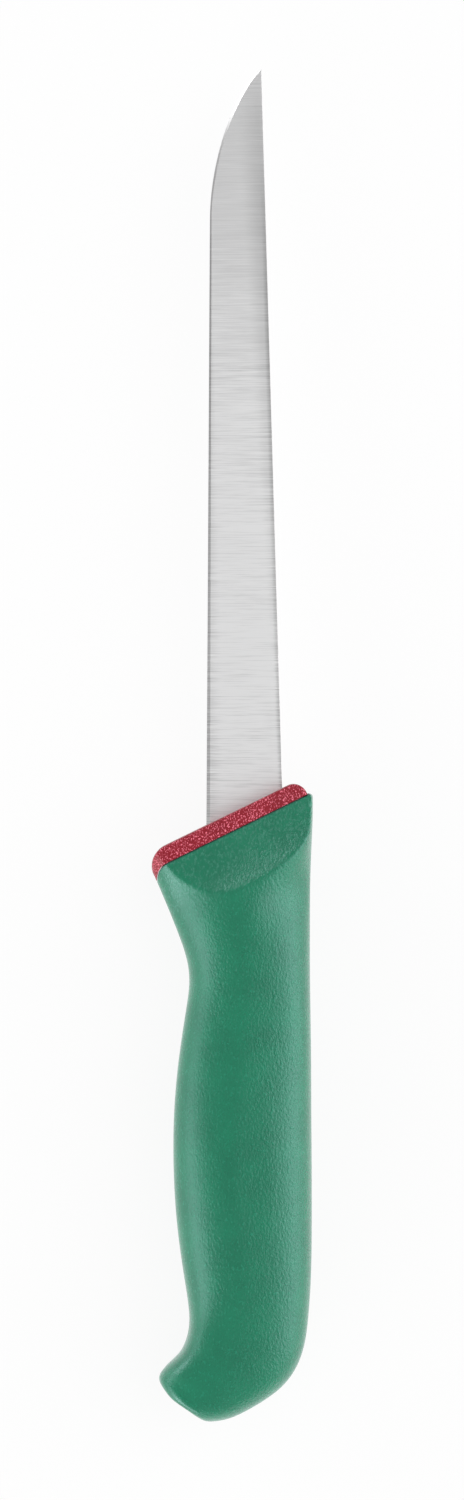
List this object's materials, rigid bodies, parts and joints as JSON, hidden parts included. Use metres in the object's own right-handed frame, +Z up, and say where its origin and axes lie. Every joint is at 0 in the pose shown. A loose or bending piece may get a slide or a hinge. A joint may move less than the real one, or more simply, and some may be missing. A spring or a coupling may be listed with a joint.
{
  "type": "fillet knife",
  "caption": "Slim flexible fillet knife with a ground steel blade, a slanted collar and a moulded grip with finger guard and hooked butt.",
  "frame": {"origin": "under the middle of the knife's box, on the table that it lies on", "axes": "+X towards the blade's spine and the handle's back, +Y along the knife towards the tip, +Z up, out of the blade's flat side"},
  "size_m": [0.0358, 0.3002, 0.0228],
  "materials": {
    "blade_steel": "stainless steel brushed across the blade",
    "collar_plastic": "red, fine moulded grain",
    "grip_plastic": "green, fine moulded grain"
  },
  "bodies": {
    "root": {"blade": "blade_steel", "handle_core": "collar_plastic", "grip": "grip_plastic"}
  },
  "joints": []
}
